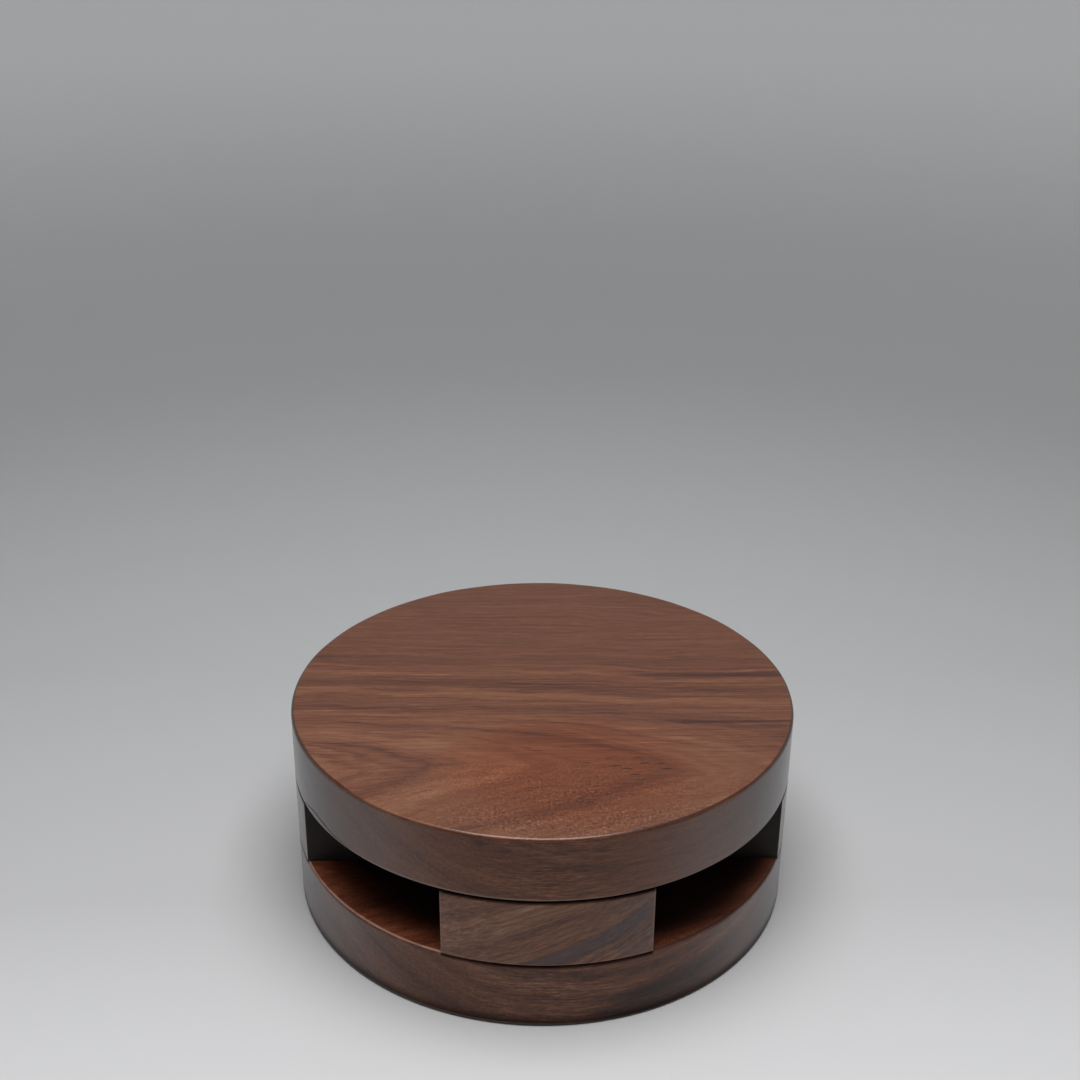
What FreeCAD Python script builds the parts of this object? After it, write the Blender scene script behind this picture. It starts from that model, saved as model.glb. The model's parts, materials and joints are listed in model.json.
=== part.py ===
"""Walnut sculpting turntable, 300 mm across: a plain disc that spins on a spindle over a fixed base.

The base is a disc on four rubber feet, and carries four spacer blocks. The blocks leave a square hollow
in the middle for a flanged bearing housing, and four openings round the rim. The platform is the upper
disc, a steel plate let into its underside, and the spindle, which turns in two 20 x 47 x 14 mm deep-groove
ball bearings.

Millimetres, +Z up. The origin is on the spin axis, in the plane that the feet stand on.
"""

import FreeCAD, Part

import math
import os

from FreeCAD import Vector

# ---- wooden discs and blocks ---------------------------------------------------------------------
disc_radius = 150.0
foot_clearance = 1.0        # bench to the base's underside
base_thickness = 41.0
block_height = 41.0
running_gap = 1.2           # blocks to the spinning disc
top_thickness = 39.0
block_width = 114.8
block_inner = 62.0          # spin axis to a block's flat inner end
upper_edge_round = 2.0      # on the upper rim of both discs and of the blocks
under_edge_round = 0.5      # on the lower rim of the spinning disc
bench_edge_round = 1.0      # on the lower rim of the base
block_edge_round = 0.5      # on the blocks' other edges
on_face = 0.001             # an edge this near to a face lies on it

# ---- levels, worked out from the thicknesses -----------------------------------------------------
base_under = foot_clearance
base_top = base_under + base_thickness
block_top = base_top + block_height
top_under = block_top + running_gap
top_face = top_under + top_thickness

# ---- ball bearings, 20 x 47 x 14 mm --------------------------------------------------------------
bearing_bore_r = 10.0
bearing_outer_r = 23.5
bearing_width = 14.0
ball_r = 3.969
ball_count = 8
pitch_r = 16.75
shoulder_step = 2.65        # pitch circle to the shoulder of either race
groove_r = 0.52 * 2 * ball_r
ball_play = 0.01            # radial play between a ball and each groove
race_edge_round = 0.6
cage_inner_r = 15.2
cage_outer_r = 18.3
cage_below = 5.2            # ball centres to the cage's closed side
cage_above = 2.4            # ball centres to the cage's open side
pocket_play = 0.15
shield_thickness = 0.35
shield_inset = 0.6          # race face to the shield's outer face
shield_gap = 0.3            # shield to the inner race
fit_play = 0.01             # between parts that are pressed or clamped together

# ---- bearing housing -----------------------------------------------------------------------------
housing_flange_r = 54.0
housing_flange_thickness = 7.0
housing_barrel_r = 31.0
housing_top = top_under - 2.0
housing_land_r = 20.5
housing_fillet = 6.0
housing_chamfer = 1.0
lower_bearing_z = base_top + 2.0
bearing_spacing = 9.0       # width of the land between the bearings
upper_bearing_z = lower_bearing_z + bearing_width + bearing_spacing
housing_screw_circle_r = 43.0
housing_screw_r = 3.0
housing_screw_length = 25.0
housing_screw_head_r = 5.0
housing_screw_head_height = 6.0
housing_screw_chamfer = 0.5
housing_socket_flats = 5.0
housing_socket_floor = 3.0  # metal left under the socket
screw_clearance = 0.3       # round a screw's shank in a plain hole
insert_r = 5.0
insert_length = 15.0
insert_knurl_r = 0.6
insert_knurl_count = 12
insert_collar = 1.0         # plain band above the knurls
room_below_insert = 6.0     # for the housing screw's end

# ---- spindle and flange plate --------------------------------------------------------------------
plate_r = 58.0
plate_thickness = 5.0
plate_play = 0.4            # round the plate in its pocket
plate_chamfer = 0.5
countersink_play = 0.1      # round a screw in the plate
plate_screw_circle_r = 46.0
plate_screw_count = 6
spindle_shoulder_r = 14.0
sleeve_r = 13.0
spindle_foot_inset = 0.5    # the spindle ends this far above the lower bearing's face
spindle_chamfer = 0.8
room_above_bolt = 3.0       # hole beyond the retaining bolt's end
retaining_bolt_r = 4.0
retaining_bolt_length = 20.0
retaining_bolt_head_flats = 13.0
retaining_bolt_head_height = 5.3
retaining_bolt_face_r = 6.2 # circle left flat inside the chamfered corners
retaining_bolt_corner = 30  # degrees, slope of the chamfered corners
washer_play = 0.2           # round the retaining bolt
end_washer_r = 14.0
end_washer_thickness = 2.5
end_washer_chamfer = 0.4
spring_washer_r = 6.8
spring_washer_thickness = 2.0
spring_washer_split = 1.0

# ---- openings in the base's underside ------------------------------------------------------------
access_hole_r = 18.0
cap_flange_r = 21.0
cap_flange_thickness = 2.0
cap_skirt_length = 9.0
cap_wall = 2.0
cap_chamfer = 0.4

# ---- wood screws, dowels and feet ----------------------------------------------------------------
wood_play = 0.02            # between a fastener and the hole that it fills
plate_screw = {"shank_r": 2.5, "head_r": 5.0, "length": 30.0}
block_screw = {"shank_r": 3.0, "head_r": 6.0, "length": 60.0}
screw_point_r = 0.3
recess_reach = 0.55         # cross recess, as a share of the screw head's radius
recess_slot = 0.3           # width of its slots, as a share of the reach
recess_taper = 0.45         # reach at its bottom, as a share of the reach at the top
recess_sink = 0.8           # its depth, as a share of a countersunk head's height
block_screw_depth = 6.0     # counterbore under a block screw's head
counterbore_play = 0.5      # round a block screw's head
block_screw_across = 36.0
block_screw_out = 118.0
dowel_r = 5.0
dowel_length = 40.0
dowel_across = 22.0
dowel_out = 84.0
foot_r = 12.0
foot_height = 5.0
foot_circle_r = 120.0
foot_edge_round = 0.8
foot_recess_r = 5.5
foot_recess_depth = 3.0
foot_screw_r = 1.75
foot_screw_head_r = 4.2
foot_screw_head_height = 2.0
foot_screw_head_round = 0.9
foot_screw_recess_depth = 1.4
foot_screw_length = 20.0
foot_screw_tip = 4.0
foot_screw_play = 0.2       # round the screw in the rubber

overcut = 1.0               # how far a cutting shape runs past the face that it opens

AXIS = Vector(0, 0, 1)
CENTRE = Vector(0, 0, 0)
QUARTER_TURNS = {"front": 0, "right": 90, "back": 180, "left": 270}


# ---- small helpers -------------------------------------------------------------------------------
def rod(radius, low, high, x=0.0, y=0.0):
    """A vertical cylinder between two levels."""
    return Part.makeCylinder(radius, high - low, Vector(x, y, low))


def ring(outer_radius, inner_radius, low, high):
    """A flat ring round the spin axis."""
    return rod(outer_radius, low, high).cut(rod(inner_radius, low - overcut, high + overcut))


def turned(shape, degrees):
    """A copy of a shape, turned about the spin axis."""
    copy = shape.copy()
    copy.rotate(CENTRE, AXIS, degrees)
    return copy


def moved(shape, x, y, z):
    """A copy of a shape, shifted."""
    copy = shape.copy()
    copy.translate(Vector(x, y, z))
    return copy


def around(shape, count, first=0.0):
    """Copies of a shape, evenly spaced round the spin axis."""
    return [turned(shape, first + i * 360.0 / count) for i in range(count)]


def circle_edges(shape, radius, level):
    """The edges of a shape that are circles of one radius at one level."""
    found = []
    for edge in shape.Edges:
        curve = edge.Curve
        if isinstance(curve, Part.Circle) and abs(curve.Radius - radius) < 1e-6:
            if abs(curve.Center.z - level) < 1e-6:
                found.append(edge)
    return found


def hexagon(across_flats, low, high):
    """A hexagonal prism on the spin axis."""
    corner_r = across_flats / math.sqrt(3)
    corners = [
        Vector(corner_r * math.cos(math.radians(60 * i)), corner_r * math.sin(math.radians(60 * i)), low)
        for i in range(7)
    ]
    return Part.Face(Part.makePolygon(corners)).extrude(Vector(0, 0, high - low))


def cross_recess(reach, depth):
    """The cross-shaped driver recess of a screw whose head faces down at level 0."""
    slot_width = reach * recess_slot
    slots = [
        Part.makeBox(2 * reach, slot_width, depth, Vector(-reach, -slot_width / 2, 0)),
        Part.makeBox(slot_width, 2 * reach, depth, Vector(-slot_width / 2, -reach, 0)),
    ]
    taper = Part.makeCone(reach, reach * recess_taper, depth, CENTRE)
    return slots[0].fuse(slots[1]).common(taper)


def wood_screw(shank_r, head_r, length, play=0.0, recess=True):
    """A countersunk wood screw driven upwards, its head flat on level 0. Play makes its hole instead."""
    head_height = head_r - shank_r
    tip_length = 2 * shank_r
    head = Part.makeCone(head_r + play, shank_r + play, head_height + play)
    shank = rod(shank_r + play, 0, length - tip_length)
    tip_start = Vector(0, 0, length - tip_length)
    tip = Part.makeCone(shank_r + play, screw_point_r + play, tip_length + play, tip_start)
    screw = head.fuse([shank, tip]).removeSplitter()
    if recess:
        screw = screw.cut(cross_recess(head_r * recess_reach, head_height * recess_sink))
    return screw


# ---- wood ----------------------------------------------------------------------------------------
def spacer_block():
    """The front spacer block: parallel sides, a flat inner end, and an outer end that is flush with the rim."""
    corner = Vector(-block_width / 2, -disc_radius - block_inner, base_top)
    bar = Part.makeBox(block_width, disc_radius, block_height, corner)
    disc = rod(disc_radius, base_top, block_top)
    disc = disc.makeFillet(upper_edge_round, circle_edges(disc, disc_radius, block_top))
    block = bar.common(disc)
    sides = [e for e in block.Edges if lies_on_a_side(e)]
    return block.makeFillet(block_edge_round, sides)


def lies_on_a_side(edge):
    """Whether an edge of the front block lies on one of its three flat upright faces."""
    box = edge.BoundBox
    beside = min(abs(box.XMin), abs(box.XMax)) > block_width / 2 - on_face
    behind = box.YMin > -block_inner - on_face
    return beside or behind


def block_screw_places():
    return [(side * block_screw_across, -block_screw_out) for side in (-1, 1)]


def dowel_places():
    return [(side * dowel_across, -dowel_out) for side in (-1, 1)]


def block_screws(play=0.0, recess=True):
    """The two screws that come up through the base into the front block."""
    screw = wood_screw(**block_screw, play=play, recess=recess)
    return [moved(screw, x, y, base_under + block_screw_depth) for x, y in block_screw_places()]


def dowels(play=0.0):
    """The two dowels that locate the front block, half in the base and half in the block."""
    half = dowel_length / 2 + play
    return [rod(dowel_r + play, base_top - half, base_top + half, x, y) for x, y in dowel_places()]


def foot_places():
    """Centres of the feet, under the openings."""
    return [
        (foot_circle_r * math.cos(math.radians(a)), foot_circle_r * math.sin(math.radians(a)))
        for a in (45, 135, 225, 315)
    ]


def base_disc():
    """The lower disc, with every hole and socket that is cut in it."""
    disc = rod(disc_radius, base_under, base_top)
    disc = disc.makeFillet(upper_edge_round, circle_edges(disc, disc_radius, base_top))
    disc = disc.makeFillet(bench_edge_round, circle_edges(disc, disc_radius, base_under))
    cuts = [
        rod(access_hole_r, base_under - overcut, base_top + overcut),
        rod(cap_flange_r + fit_play, base_under - overcut, base_under + cap_flange_thickness),
    ]
    counterbore_r = block_screw["head_r"] + counterbore_play
    for degrees in QUARTER_TURNS.values():
        holes = block_screws(play=wood_play, recess=False) + dowels(play=wood_play)
        for x, y in block_screw_places():
            holes.append(rod(counterbore_r, base_under - overcut, base_under + block_screw_depth, x, y))
        cuts += [turned(hole, degrees) for hole in holes]
    insert_low = base_top - insert_length
    insert_hole = rod(insert_r + fit_play, insert_low, base_top + overcut, housing_screw_circle_r)
    end_r = housing_screw_r + screw_clearance
    end_hole = rod(end_r, insert_low - room_below_insert, base_top, housing_screw_circle_r)
    cuts += around(insert_hole.fuse(end_hole), 4, first=45)
    for x, y in foot_places():
        cuts.append(rod(foot_r + fit_play, base_under - overcut, foot_height, x, y))
        cuts.append(rod(foot_screw_r + wood_play, base_under, foot_recess_depth + foot_screw_length, x, y))
    return disc.cut(cuts)


def top_disc():
    """The upper disc, with a pocket for the flange plate and pilot holes for its screws."""
    disc = rod(disc_radius, top_under, top_face)
    disc = disc.makeFillet(upper_edge_round, circle_edges(disc, disc_radius, top_face))
    disc = disc.makeFillet(under_edge_round, circle_edges(disc, disc_radius, top_under))
    pocket = rod(plate_r + plate_play, top_under - overcut, top_under + plate_thickness)
    return disc.cut([pocket] + plate_screws(play=wood_play, recess=False))


# ---- bearings ------------------------------------------------------------------------------------
def groove(centre_z, offset):
    """The ring of ball track that is cut from a race. The offset moves its centre from the pitch circle."""
    return Part.makeTorus(pitch_r + offset, groove_r, Vector(0, 0, centre_z), AXIS)


def outer_race(low):
    centre_z = low + bearing_width / 2
    race = ring(bearing_outer_r, pitch_r + shoulder_step, low, low + bearing_width)
    rims = [e for level in (low, low + bearing_width) for e in circle_edges(race, bearing_outer_r, level)]
    race = race.makeFillet(race_edge_round, rims)
    return race.cut(groove(centre_z, ball_r + ball_play - groove_r))


def inner_race(low):
    centre_z = low + bearing_width / 2
    race = ring(pitch_r - shoulder_step, bearing_bore_r + fit_play, low, low + bearing_width)
    return race.cut(groove(centre_z, groove_r - ball_r - ball_play))


def balls(low):
    ball = Part.makeSphere(ball_r, Vector(pitch_r, 0, low + bearing_width / 2))
    return around(ball, ball_count)


def cage(low):
    """A crown cage: a ring with round pockets that are open at the top, so that it snaps over the balls."""
    centre_z = low + bearing_width / 2
    body = ring(cage_outer_r, cage_inner_r, centre_z - cage_below, centre_z + cage_above)
    pocket = Part.makeSphere(ball_r + pocket_play, Vector(pitch_r, 0, centre_z))
    return body.cut(around(pocket, ball_count))


def shields(low):
    """The two thin steel rings, pressed into the outer race, that keep dust out."""
    outer_r = pitch_r + shoulder_step - fit_play
    inner_r = pitch_r - shoulder_step + shield_gap
    lows = (low + shield_inset, low + bearing_width - shield_inset - shield_thickness)
    return [ring(outer_r, inner_r, z, z + shield_thickness) for z in lows]


# ---- bearing housing -----------------------------------------------------------------------------
def bearing_housing():
    """A flanged barrel with a bearing seat at each end and a land between them."""
    flange_top = base_top + housing_flange_thickness
    flange = rod(housing_flange_r, base_top, flange_top)
    barrel = rod(housing_barrel_r, base_top, housing_top)
    body = flange.fuse(barrel).removeSplitter()
    body = body.makeFillet(housing_fillet, circle_edges(body, housing_barrel_r, flange_top))
    seat_r = bearing_outer_r + fit_play
    holes = [
        rod(seat_r, base_top - overcut, lower_bearing_z + bearing_width),
        rod(housing_land_r, base_top, housing_top),
        rod(seat_r, upper_bearing_z, housing_top + overcut),
    ]
    screw_hole_r = housing_screw_r + screw_clearance
    screw_hole = rod(screw_hole_r, base_top - overcut, flange_top + overcut, housing_screw_circle_r)
    body = body.cut(holes + around(screw_hole, 4, first=45))
    rims = circle_edges(body, housing_flange_r, flange_top)
    rims += circle_edges(body, housing_barrel_r, housing_top)
    return body.makeChamfer(housing_chamfer, rims)


def housing_screws():
    """Socket-head screws that hold the housing down."""
    seat = base_top + housing_flange_thickness
    head_top = seat + housing_screw_head_height
    head = rod(housing_screw_head_r, seat, head_top)
    head = head.makeChamfer(housing_screw_chamfer, circle_edges(head, housing_screw_head_r, head_top))
    socket = hexagon(housing_socket_flats, seat + housing_socket_floor, head_top + overcut)
    shank = rod(housing_screw_r, seat - housing_screw_length, seat)
    screw = head.fuse(shank).removeSplitter().cut(socket)
    return around(moved(screw, housing_screw_circle_r, 0, 0), 4, first=45)


def housing_inserts():
    """Brass threaded inserts, flush with the base, that the housing screws turn into."""
    low = base_top - insert_length
    insert = ring(insert_r, housing_screw_r + fit_play, low, base_top)
    knurl = rod(insert_knurl_r, low - overcut, base_top - insert_collar, insert_r)
    insert = insert.cut(around(knurl, insert_knurl_count))
    return around(moved(insert, housing_screw_circle_r, 0, 0), 4, first=45)


# ---- spindle -------------------------------------------------------------------------------------
def spindle():
    """The turned shaft: a spigot in the plate, a shoulder on the upper bearing, and a tapped lower end."""
    shoulder_low = upper_bearing_z + bearing_width
    foot = lower_bearing_z + spindle_foot_inset
    shaft = rod(bearing_bore_r, foot, top_under + plate_thickness)
    shoulder = rod(spindle_shoulder_r, shoulder_low, top_under)
    body = shaft.fuse(shoulder).removeSplitter()
    body = body.makeChamfer(spindle_chamfer, circle_edges(body, bearing_bore_r, foot))
    bolt_tip = lower_bearing_z - end_washer_thickness - spring_washer_thickness + retaining_bolt_length
    return body.cut(rod(retaining_bolt_r + fit_play, foot - overcut, bolt_tip + room_above_bolt))


def flange_plate():
    """The steel plate let into the upper disc, countersunk from below for its screws."""
    plate = ring(plate_r, bearing_bore_r + fit_play, top_under, top_under + plate_thickness)
    plate = plate.makeChamfer(plate_chamfer, circle_edges(plate, plate_r, top_under))
    return plate.cut(plate_screws(play=countersink_play, recess=False))


def plate_screws(play=0.0, recess=True):
    screw = moved(wood_screw(**plate_screw, play=play, recess=recess), plate_screw_circle_r, 0, top_under)
    return around(screw, plate_screw_count)


def inner_sleeve():
    """The sleeve that holds the two inner races apart."""
    return ring(sleeve_r, bearing_bore_r + fit_play, lower_bearing_z + bearing_width, upper_bearing_z)


def end_washer():
    low = lower_bearing_z - end_washer_thickness
    washer = ring(end_washer_r, retaining_bolt_r + washer_play, low, lower_bearing_z)
    return washer.makeChamfer(end_washer_chamfer, circle_edges(washer, end_washer_r, low))


def spring_washer():
    """A split lock washer, clamped flat."""
    high = lower_bearing_z - end_washer_thickness
    low = high - spring_washer_thickness
    washer = ring(spring_washer_r, retaining_bolt_r + washer_play, low, high)
    split_length = spring_washer_r + overcut
    split_height = spring_washer_thickness + 2 * overcut
    split_corner = Vector(0, -spring_washer_split / 2, low - overcut)
    return washer.cut(Part.makeBox(split_length, spring_washer_split, split_height, split_corner))


def retaining_bolt():
    """The hexagon-head bolt that clamps both inner races against the spindle's shoulder."""
    seat = lower_bearing_z - end_washer_thickness - spring_washer_thickness
    low = seat - retaining_bolt_head_height
    head = hexagon(retaining_bolt_head_flats, low, seat)
    trim_spread = retaining_bolt_head_height / math.tan(math.radians(retaining_bolt_corner))
    trim_r = retaining_bolt_face_r
    trim = Part.makeCone(trim_r, trim_r + trim_spread, retaining_bolt_head_height, Vector(0, 0, low))
    shank = rod(retaining_bolt_r, seat, seat + retaining_bolt_length)
    return head.common(trim).fuse(shank).removeSplitter()


# ---- feet and cap --------------------------------------------------------------------------------
def foot_pads():
    """Rubber feet, let into the base, each with a recess that keeps its screw off the bench."""
    pads = []
    for x, y in foot_places():
        pad = rod(foot_r, 0, foot_height, x, y)
        pad = pad.makeFillet(foot_edge_round, circle_edges(pad, foot_r, 0))
        pad = pad.cut([
            rod(foot_recess_r, -overcut, foot_recess_depth, x, y),
            rod(foot_screw_r + foot_screw_play, -overcut, foot_height + overcut, x, y),
        ])
        pads.append(pad)
    return pads


def foot_screws():
    """Pan-head wood screws through the feet."""
    head_low = foot_recess_depth - foot_screw_head_height
    head = rod(foot_screw_head_r, head_low, foot_recess_depth)
    head = head.makeFillet(foot_screw_head_round, circle_edges(head, foot_screw_head_r, head_low))
    tip_low = foot_recess_depth + foot_screw_length - foot_screw_tip
    shank = rod(foot_screw_r, head_low, tip_low)
    tip = Part.makeCone(foot_screw_r, screw_point_r, foot_screw_tip, Vector(0, 0, tip_low))
    screw = head.fuse([shank, tip]).removeSplitter()
    recess = cross_recess(foot_screw_head_r * recess_reach, foot_screw_recess_depth)
    screw = screw.cut(moved(recess, 0, 0, head_low))
    return [moved(screw, x, y, 0) for x, y in foot_places()]


def access_cap():
    """The plastic cap that closes the hole under the retaining bolt."""
    flange = rod(cap_flange_r, base_under, base_under + cap_flange_thickness)
    flange = flange.makeChamfer(cap_chamfer, circle_edges(flange, cap_flange_r, base_under))
    skirt_r = access_hole_r - fit_play
    skirt_low = base_under + cap_flange_thickness
    skirt = ring(skirt_r, skirt_r - cap_wall, skirt_low, skirt_low + cap_skirt_length)
    return flange.fuse(skirt).removeSplitter()


# ---- the assembly --------------------------------------------------------------------------------
def assembly():
    """Every node's solids, by node name."""
    blank = spacer_block().cut(block_screws(play=wood_play, recess=False) + dowels(play=wood_play))
    all_block_screws = []
    all_dowels = []
    nodes = {"base_disc": [base_disc()], "top_disc": [top_disc()]}
    for name, degrees in QUARTER_TURNS.items():
        nodes[name + "_block"] = [turned(blank, degrees)]
        all_block_screws += [turned(s, degrees) for s in block_screws()]
        all_dowels += [turned(s, degrees) for s in dowels()]
    nodes["block_screws"] = all_block_screws
    nodes["block_dowels"] = all_dowels
    nodes["foot_pads"] = foot_pads()
    nodes["foot_screws"] = foot_screws()
    nodes["access_cap"] = [access_cap()]
    nodes["bearing_housing"] = [bearing_housing()]
    nodes["housing_screws"] = housing_screws()
    nodes["housing_inserts"] = housing_inserts()
    nodes["spindle"] = [spindle()]
    nodes["flange_plate"] = [flange_plate()]
    nodes["plate_screws"] = plate_screws()
    nodes["inner_sleeve"] = [inner_sleeve()]
    nodes["end_washer"] = [end_washer()]
    nodes["spring_washer"] = [spring_washer()]
    nodes["retaining_bolt"] = [retaining_bolt()]
    for place, low in (("upper", upper_bearing_z), ("lower", lower_bearing_z)):
        nodes[place + "_outer_race"] = [outer_race(low)]
        nodes[place + "_inner_race"] = [inner_race(low)]
        nodes[place + "_balls"] = balls(low)
        nodes[place + "_cage"] = [cage(low)]
        nodes[place + "_shields"] = shields(low)
    return nodes


def solids_of(shapes):
    found = []
    for shape in shapes:
        found += shape.Solids
    return found


def main():
    os.makedirs("parts", exist_ok=True)
    for name, shapes in assembly().items():
        solids = solids_of(shapes)
        result = solids[0] if len(solids) == 1 else Part.makeCompound(solids)
        if not result.isValid():
            raise ValueError(name + " isn't a valid shape")
        result.exportStep("parts/" + name + ".step")
        print(name, len(solids), round(result.Volume / 1000, 2), "cm3")


main()
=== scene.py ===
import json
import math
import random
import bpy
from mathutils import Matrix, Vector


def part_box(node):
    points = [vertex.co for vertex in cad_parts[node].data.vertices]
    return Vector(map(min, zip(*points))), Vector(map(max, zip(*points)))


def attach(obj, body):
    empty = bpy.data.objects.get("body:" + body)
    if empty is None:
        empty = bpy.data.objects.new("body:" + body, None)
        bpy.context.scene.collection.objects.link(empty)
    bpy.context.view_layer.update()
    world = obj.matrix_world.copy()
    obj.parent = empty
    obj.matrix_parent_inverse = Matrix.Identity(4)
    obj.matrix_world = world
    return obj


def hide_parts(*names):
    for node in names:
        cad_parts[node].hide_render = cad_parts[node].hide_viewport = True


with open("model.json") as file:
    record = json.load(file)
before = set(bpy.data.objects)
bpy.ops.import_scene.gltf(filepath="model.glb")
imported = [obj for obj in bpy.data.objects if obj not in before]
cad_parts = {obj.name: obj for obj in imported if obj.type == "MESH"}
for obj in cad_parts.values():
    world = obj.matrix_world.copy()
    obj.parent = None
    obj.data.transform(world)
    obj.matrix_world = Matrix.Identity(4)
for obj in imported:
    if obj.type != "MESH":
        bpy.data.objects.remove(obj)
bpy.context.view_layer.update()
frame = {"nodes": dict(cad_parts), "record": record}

# A walnut sculpting turntable in a plain, pale studio. Metres, in the part's own frame: +Z is up along the
# spin axis, and -Y points to the front block. The wooden pieces are rebuilt here with finer edges, and their
# grain is worked out in three dimensions, so that it runs through each piece from one face to the next.

from types import SimpleNamespace

import bpy
import bmesh
from mathutils import Matrix, Vector

MM = 0.001

# ---- levels and radii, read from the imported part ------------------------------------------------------
top_low, top_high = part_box("top_disc")
base_low, base_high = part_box("base_disc")
block_low, block_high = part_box("front_block")
_, plate_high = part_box("flange_plate")
_, cap_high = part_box("access_cap")
disc_r = top_high.x
block_half_width = block_high.x
block_outer_r = -block_low.y
block_inner_y = block_high.y

# ---- pockets and holes in the wood, which hold the hidden parts ---------------------------------------
plate_gap = 0.4 * MM
bolt_hole_r = 18.0 * MM
cap_pocket_depth = 2.0 * MM
foot_circle_r = 120.0 * MM
foot_pocket_r = 12.0 * MM
foot_pocket_depth = 5.0 * MM
block_screw_side = 36.0 * MM
block_screw_reach = 118.0 * MM
screw_pocket_r = 6.5 * MM
screw_pocket_depth = 8.0 * MM

# ---- edges -------------------------------------------------------------------------------------------
round_steps = 7
upper_rim_round = 2.0 * MM
top_under_round = 0.5 * MM
base_foot_round = 1.0 * MM
block_round = 0.5 * MM
rim_wear = 0.16
under_wear = 0.25
rim_segments = 540
# how far the next ring of points is from a round, so that the flat faces beside it stay flat
rim_margin = 3.0 * MM
foot_margin = 2.0 * MM
under_margin = 1.2 * MM
sharp_angle = math.radians(38)
seam_split_width = 1.0 * MM
seam_split_depth = 2.6 * MM
chip_size = (0.55 * MM, 1.6 * MM, 0.6 * MM)
chip_angle = math.radians(214.3)


# ---- outlines ----------------------------------------------------------------------------------------
def with_round_corners(corners, steps=round_steps):
    """A closed outline. Each corner (x, y, radius) becomes an arc. A corner of no radius stays a point."""
    points = []
    for i, (x, y, radius) in enumerate(corners):
        corner = Vector((x, y))
        if radius <= 0:
            points.append(corner)
            continue
        before = Vector(corners[i - 1][:2]) - corner
        after = Vector(corners[(i + 1) % len(corners)][:2]) - corner
        before.normalize()
        after.normalize()
        half_angle = before.angle(after) / 2
        reach = radius / math.tan(half_angle)
        centre = corner + (before + after).normalized() * (radius / math.sin(half_angle))
        start = corner + before * reach - centre
        sweep = start.angle_signed(corner + after * reach - centre)
        for k in range(steps + 1):
            turn = Matrix.Rotation(-sweep * k / steps, 2)
            points.append(centre + turn @ start)
    return points


def wander(rng, waves=(2, 3, 5, 9, 14, 23)):
    """A smooth random function of an angle, between about -1 and 1, that closes on itself."""
    terms = [(n, rng.uniform(0, math.tau), rng.uniform(0.4, 1.0)) for n in waves]
    total = sum(size for _, _, size in terms)

    def value(angle):
        return sum(size * math.sin(n * angle + phase) for n, phase, size in terms) / total * 1.8

    return value


# ---- meshes ------------------------------------------------------------------------------------------
def finished(mesh, name):
    """An object with smooth faces and sharp edges where the faces meet at a steep angle."""
    for polygon in mesh.polygons:
        polygon.use_smooth = True
    mesh.set_sharp_from_angle(angle=sharp_angle)
    piece = bpy.data.objects.new(name, mesh)
    bpy.context.scene.collection.objects.link(piece)
    return piece


def turned_mesh(name, profile_at, segments=rim_segments, through=False):
    """A surface of revolution. profile_at(angle) gives its (radius, z) points, which may vary with the
    angle. With through, the outline is closed, so that the surface has a hole along its axis."""
    mesh = bpy.data.meshes.new(name)
    rows = []
    vertices = []
    profiles = [profile_at(math.tau * s / segments) for s in range(segments)]
    for i in range(len(profiles[0])):
        if profiles[0][i][0] < 1e-9:
            rows.append([len(vertices)] * segments)
            vertices.append((0, 0, profiles[0][i][1]))
            continue
        row = []
        for s in range(segments):
            angle = math.tau * s / segments
            r, z = profiles[s][i]
            row.append(len(vertices))
            vertices.append((r * math.cos(angle), r * math.sin(angle), z))
        rows.append(row)
    faces = []
    pairs = list(zip(rows, rows[1:]))
    if through:
        pairs.append((rows[-1], rows[0]))
    for upper, lower in pairs:
        for s in range(segments):
            t = (s + 1) % segments
            face = []
            for v in (upper[s], lower[s], lower[t], upper[t]):
                if v not in face:
                    face.append(v)
            if len(face) > 2:
                faces.append(face)
    mesh.from_pydata(vertices, [], faces)
    mesh.validate()
    return mesh


def carved(piece, cutters):
    """The piece with every cutter taken out of it. The cutters are used up."""
    for cutter in cutters:
        modifier = piece.modifiers.new("cut", "BOOLEAN")
        modifier.operation = "DIFFERENCE"
        modifier.solver = "MANIFOLD"
        modifier.object = cutter
    bpy.context.view_layer.update()
    graph = bpy.context.evaluated_depsgraph_get()
    mesh = bpy.data.meshes.new_from_object(piece.evaluated_get(graph), depsgraph=graph)
    piece.modifiers.clear()
    piece.data = mesh
    for cutter in cutters:
        bpy.data.objects.remove(cutter)
    mesh.set_sharp_from_angle(angle=sharp_angle)
    return piece


def round_cutter(radius, low, high, x, y, segments=72):
    """A plain cylinder, used only to cut holes."""
    mesh = bpy.data.meshes.new("cutter")
    build = bmesh.new()
    place = Matrix.Translation((x, y, (low + high) / 2))
    bmesh.ops.create_cone(build, cap_ends=True, segments=segments, radius1=radius, radius2=radius,
                          depth=high - low, matrix=place)
    build.to_mesh(mesh)
    build.free()
    return finished(mesh, "cutter")


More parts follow.
